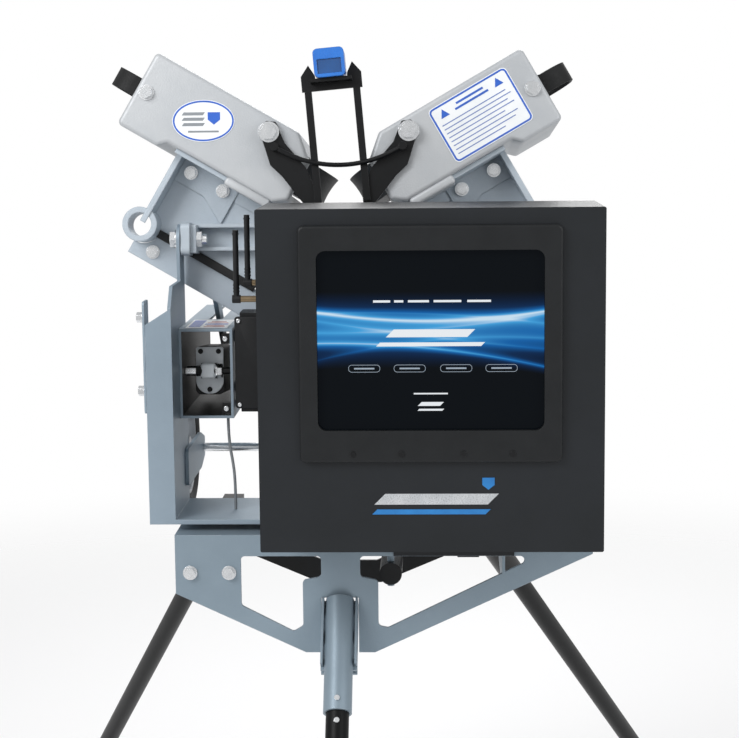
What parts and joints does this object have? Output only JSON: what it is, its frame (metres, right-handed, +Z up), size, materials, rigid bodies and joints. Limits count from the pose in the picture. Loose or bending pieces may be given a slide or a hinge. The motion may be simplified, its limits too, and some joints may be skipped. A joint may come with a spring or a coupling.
{
  "type": "baseball pitching machine",
  "caption": "Three-wheel pitching machine on a splayed tripod: cast wheel arms in a tilting, swivelling yoke, with a screen-fronted control box behind and carrying wheels.",
  "frame": {"origin": "on the floor, midway between the front and rear feet and on the centre line", "axes": "+Z up, +Y the way the ball is thrown, away from the operator, +X to the operator's right"},
  "size_m": [1.4168, 1.9232, 1.6777],
  "materials": {
    "cast_grey": "satin painted casting",
    "sheet_grey": "satin powder coat, blue-grey",
    "box_black": "satin powder coat, charcoal",
    "frame_black": "semi-gloss black",
    "strap_black": "matt",
    "urethane": "matt urethane",
    "hub_metal": "machined",
    "zinc": "bright zinc plate",
    "motor_black": "satin black",
    "lamp_blue": "moulded",
    "lamp_window": "clear blue",
    "glass": "screen",
    "bezel_black": "fine grain",
    "tyre": "matt",
    "foot_rubber": "matt",
    "cable_grey": "matt",
    "plastic_black": "moulded"
  },
  "bodies": {
    "base": {"base_housing": "sheet_grey", "rear_frame": "frame_black", "front_leg_socket": "sheet_grey", "front_leg": "frame_black", "left_leg": "frame_black", "right_leg": "frame_black", "rubber_feet": "foot_rubber", "swivel_bearing": "zinc", "base_fasteners": "zinc", "control_box": "box_black", "control_box_back": "box_black", "screen_bezel": "bezel_black", "bezel_screws": "motor_black", "screen_glass": "glass", "display_module": "plastic_black", "power_inlet": "plastic_black", "antenna_stubs": "zinc"},
    "rocker": {"power_rocker": "plastic_black"},
    "antenna_front": {"front_antenna": "plastic_black"},
    "antenna_rear": {"rear_antenna": "plastic_black"},
    "yoke": {"yoke_frame": "sheet_grey", "swivel_shaft": "zinc", "actuator_channel": "sheet_grey", "electronics_box": "plastic_black", "wheel_brackets": "sheet_grey", "carry_axle": "zinc", "tilt_cable": "cable_grey"},
    "head": {"left_casting": "cast_grey", "right_casting": "cast_grey", "lower_casting": "cast_grey", "left_wheel_cover": "cast_grey", "right_wheel_cover": "cast_grey", "lower_wheel_cover": "cast_grey", "left_motor": "motor_black", "right_motor": "motor_black", "lower_motor": "motor_black", "left_handle": "strap_black", "right_handle": "strap_black", "feed_brackets": "frame_black", "feed_bail": "frame_black", "feed_frame": "frame_black", "lamp_housing": "lamp_blue", "lamp_lens": "lamp_window", "head_bolts": "zinc", "tilt_lever": "sheet_grey", "pivot_bolts": "zinc"},
    "left_wheel": {"left_throwing_tyre": "urethane", "left_throwing_hub": "hub_metal"},
    "right_wheel": {"right_throwing_tyre": "urethane", "right_throwing_hub": "hub_metal"},
    "lower_wheel": {"lower_throwing_tyre": "urethane", "lower_throwing_hub": "hub_metal"},
    "carry_wheel_left": {"left_carry_tyre": "tyre", "left_carry_rim": "hub_metal"},
    "carry_wheel_right": {"right_carry_tyre": "tyre", "right_carry_rim": "hub_metal"},
    "tilt_drive": {"tilt_actuator": "hub_metal"},
    "tilt_ram": {"tilt_rod": "zinc"},
    "pan_drive": {"pan_actuator": "motor_black"},
    "pan_ram": {"pan_rod": "zinc"}
  },
  "joints": [
    {"name": "pan", "type": "hinge", "parent": "base", "child": "yoke", "pos_m": [0, -0.1583, 0.88], "axis": [0, 0, 1], "range_deg": [-4, 4]},
    {"name": "tilt", "type": "hinge", "parent": "yoke", "child": "head", "pos_m": [0, -0.1583, 1.355], "axis": [1, 0, 0], "range_deg": [-4, 16]},
    {"name": "right_wheel_spin", "type": "hinge", "parent": "head", "child": "right_wheel", "pos_m": [0.14896, -0.02914, 1.49326], "axis": [-0.5, 0.0905, 0.8613], "continuous": true},
    {"name": "left_wheel_spin", "type": "hinge", "parent": "head", "child": "left_wheel", "pos_m": [-0.14896, -0.02914, 1.49326], "axis": [0.5, 0.0905, 0.8613], "continuous": true},
    {"name": "lower_wheel_spin", "type": "hinge", "parent": "head", "child": "lower_wheel", "pos_m": [0, -0.05611, 1.23667], "axis": [1, 0, 0], "continuous": true},
    {"name": "left_carry_spin", "type": "hinge", "parent": "yoke", "child": "carry_wheel_left", "pos_m": [-0.318, 0.0267, 0.957], "axis": [1, 0, 0], "continuous": true},
    {"name": "right_carry_spin", "type": "hinge", "parent": "yoke", "child": "carry_wheel_right", "pos_m": [0.318, 0.0267, 0.957], "axis": [1, 0, 0], "continuous": true},
    {"name": "tilt_drive_swing", "type": "hinge", "parent": "yoke", "child": "tilt_drive", "pos_m": [-0.2298, -0.1883, 1.13], "axis": [1, 0, 0], "range_deg": [-3.85, 14.8]},
    {"name": "tilt_ram_slide", "type": "slide", "parent": "tilt_drive", "child": "tilt_ram", "axis": [0, 0.9952, -0.0981], "range_m": [-0.01615, 0.06309]},
    {"name": "pan_drive_swing", "type": "hinge", "parent": "base", "child": "pan_drive", "pos_m": [0.084, -0.2883, 0.8], "axis": [0, 0, 1], "range_deg": [-1.1, 1.1]},
    {"name": "pan_ram_slide", "type": "slide", "parent": "pan_drive", "child": "pan_ram", "axis": [0, 1, 0], "range_m": [-0.0062, 0.0062]},
    {"name": "front_antenna_turn", "type": "hinge", "parent": "base", "child": "antenna_front", "pos_m": [-0.15, -0.4583, 1.281], "axis": [1, 0, 0], "range_deg": [-90, 90]},
    {"name": "rear_antenna_turn", "type": "hinge", "parent": "base", "child": "antenna_rear", "pos_m": [-0.137, -0.4083, 1.302], "axis": [1, 0, 0], "range_deg": [-90, 90]},
    {"name": "power_switch", "type": "hinge", "parent": "base", "child": "rocker", "pos_m": [0.4182, -0.3803, 0.981], "axis": [0, 1, 0], "range_deg": [-8, 8]}
  ],
  "couplings": [
    {"joint": "tilt_drive_swing", "follows": "tilt", "ratio": 0.9128},
    {"joint": "tilt_ram_slide", "follows": "tilt", "m_per_rad": 0.22414},
    {"joint": "pan_drive_swing", "follows": "pan", "ratio": 0.2353},
    {"joint": "pan_ram_slide", "follows": "pan", "m_per_rad": 0.084}
  ]
}
